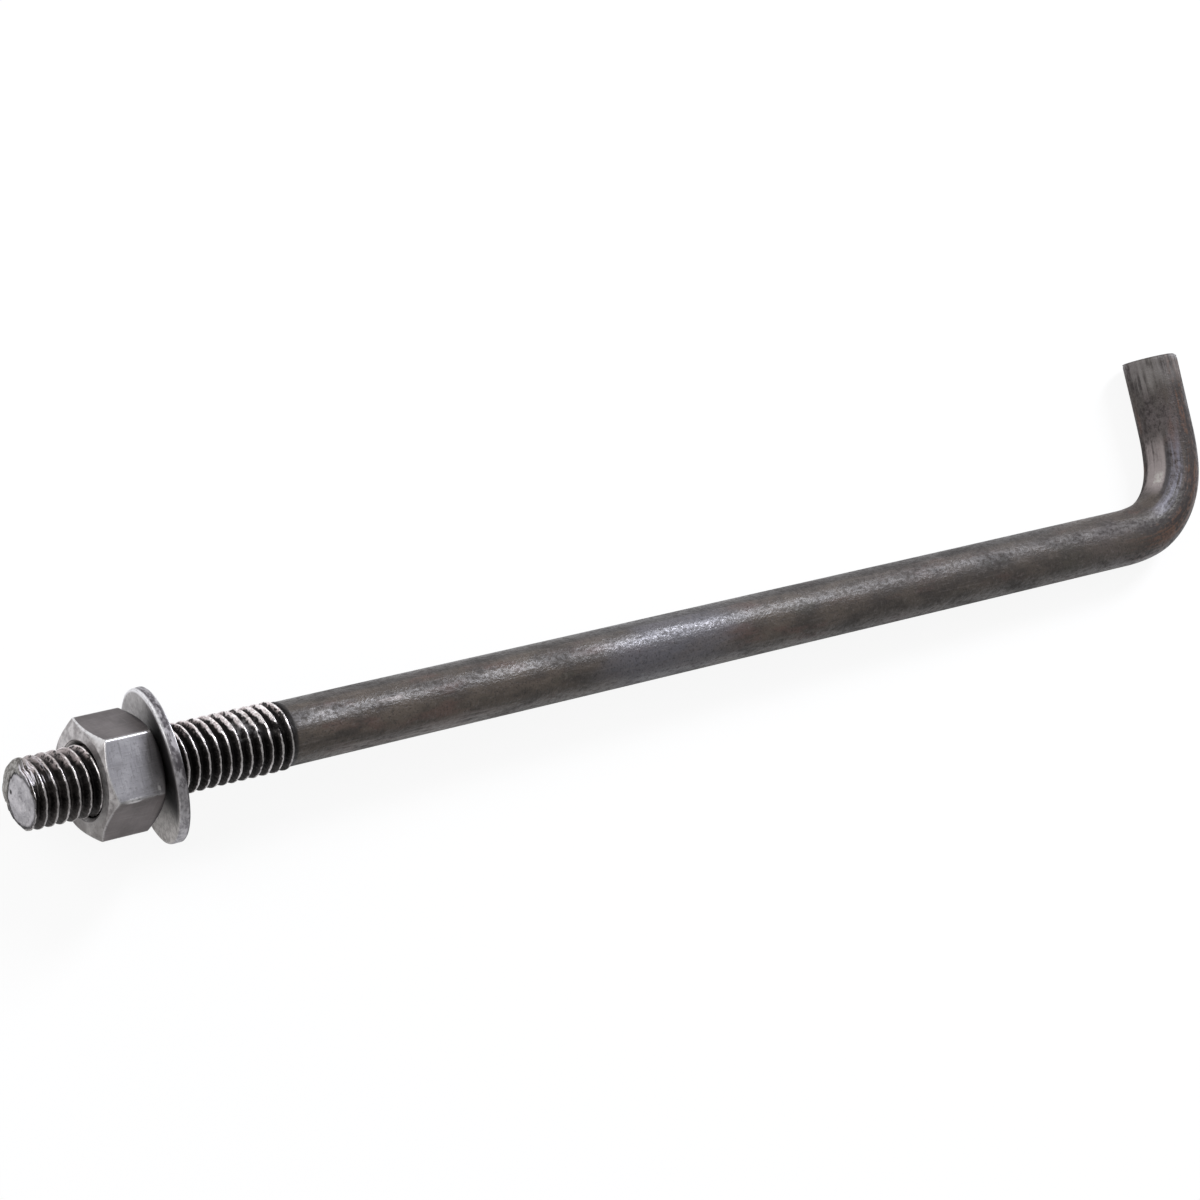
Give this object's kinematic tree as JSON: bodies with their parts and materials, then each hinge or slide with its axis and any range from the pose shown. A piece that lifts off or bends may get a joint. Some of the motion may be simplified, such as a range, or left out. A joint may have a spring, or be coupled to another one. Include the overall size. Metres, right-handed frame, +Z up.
{
  "type": "anchor bolt",
  "caption": "Bent foundation anchor bolt with a coarse rolled thread, a hex nut and a loose flat washer, lying on its side.",
  "frame": {"origin": "bottom centre of the bounding box, on the surface that the bolt lies on", "axes": "+X along the shaft from the threaded end to the hook, +Y along the hook's leg, +Z up"},
  "size_m": [0.2168, 0.0378, 0.0205],
  "materials": {
    "mill_scale": "dark brown-grey mill scale",
    "machined_steel": "plain machined steel",
    "stamped_steel": "plain stamped steel"
  },
  "bodies": {
    "rod": {"anchor_rod": "mill_scale"},
    "washer": {"flat_washer": "stamped_steel"},
    "nut": {"hex_nut": "machined_steel"}
  },
  "joints": [
    {"name": "nut_travel", "type": "slide", "parent": "rod", "child": "washer", "axis": [0.9995, 0, -0.031], "range_m": [-0.01746, 0.01905]},
    {"name": "nut_turn", "type": "hinge", "parent": "washer", "child": "nut", "pos_m": [-0.09471, -0.0085, 0.01029], "axis": [0.9995, 0, -0.031], "range_deg": [-3965, 4325]}
  ],
  "couplings": [
    {"joint": "nut_turn", "follows": "nut_travel", "rad_per_m": 3957.9}
  ]
}
